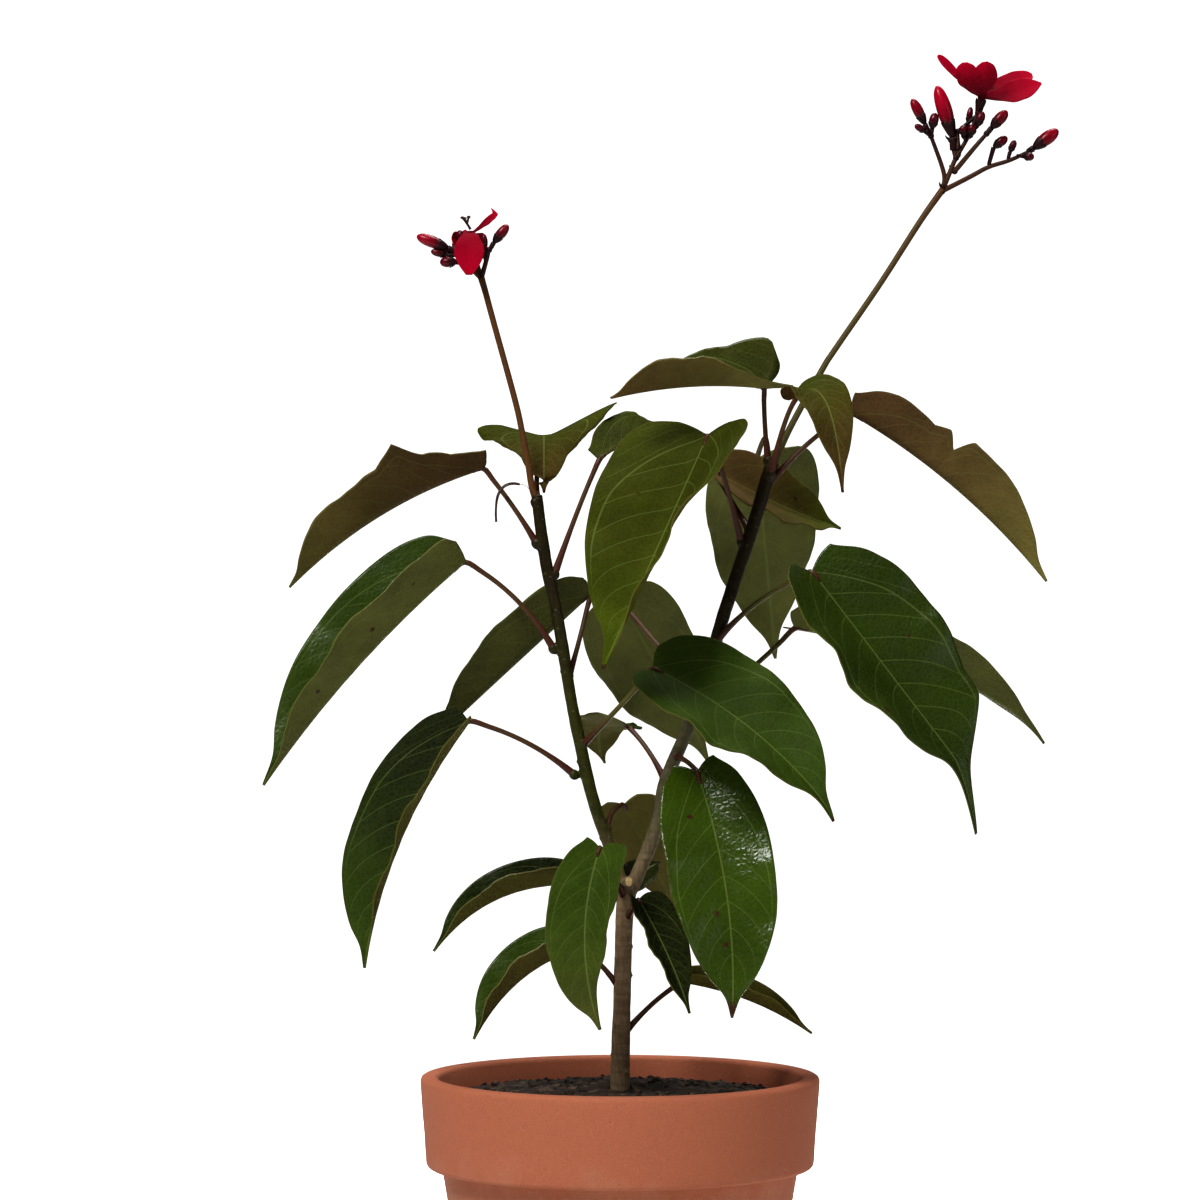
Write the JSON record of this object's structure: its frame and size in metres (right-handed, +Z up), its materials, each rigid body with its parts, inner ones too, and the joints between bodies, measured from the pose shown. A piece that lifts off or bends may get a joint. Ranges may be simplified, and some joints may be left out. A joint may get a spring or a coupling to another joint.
{
  "type": "potted peregrina",
  "caption": "Young forked woody plant with heart-based, drip-tipped leaves and upright stalks of small crimson flowers, in a round tapered terracotta pot.",
  "frame": {"origin": "centre of the pot's flat underside", "axes": "+Z up along the pot's axis, +X to the right and +Y away as the picture looks at the plant"},
  "size_m": [0.2384, 0.1266, 0.4167],
  "materials": {
    "terracotta": "unglazed, matt",
    "soil": "loose, matt",
    "bark": "young bark, dull",
    "leaf_mature": "waxy, half glossy",
    "leaf_young": "thin, satin",
    "flower_stalk": "smooth, satin",
    "petal": "velvety",
    "stamen": "dull"
  },
  "bodies": {
    "root": {"pot": "terracotta", "soil": "soil", "woody_stem": "bark", "leaf_left_high": "leaf_young", "leaf_left_large": "leaf_mature", "leaf_left_low": "leaf_mature", "leaf_left_crown": "leaf_young", "leaf_left_sickle": "leaf_young", "leaf_center_back": "leaf_mature", "leaf_center_front": "leaf_young", "leaf_right_crown_left": "leaf_young", "leaf_right_crown_front": "leaf_young", "leaf_right_high": "leaf_young", "leaf_right_mid_back": "leaf_mature", "leaf_right_back": "leaf_mature", "leaf_right_large": "leaf_mature", "leaf_right_behind": "leaf_mature", "leaf_center_low": "leaf_mature", "leaf_center_behind": "leaf_mature", "leaf_left_behind": "leaf_mature", "leaf_center_small": "leaf_young", "leaf_front_low": "leaf_mature", "leaf_front_left": "leaf_mature", "leaf_low_left": "leaf_mature", "leaf_mid_left": "leaf_mature", "leaf_front_right_small": "leaf_mature", "leaf_low_right": "leaf_mature", "leaf_fork_behind": "leaf_young", "leaf_fork_small": "leaf_mature", "flower_stalk_right": "flower_stalk", "corolla_right": "petal", "stamens_right": "stamen", "flower_stalk_left": "flower_stalk", "corolla_left": "petal", "stamens_left": "stamen"}
  },
  "joints": []
}
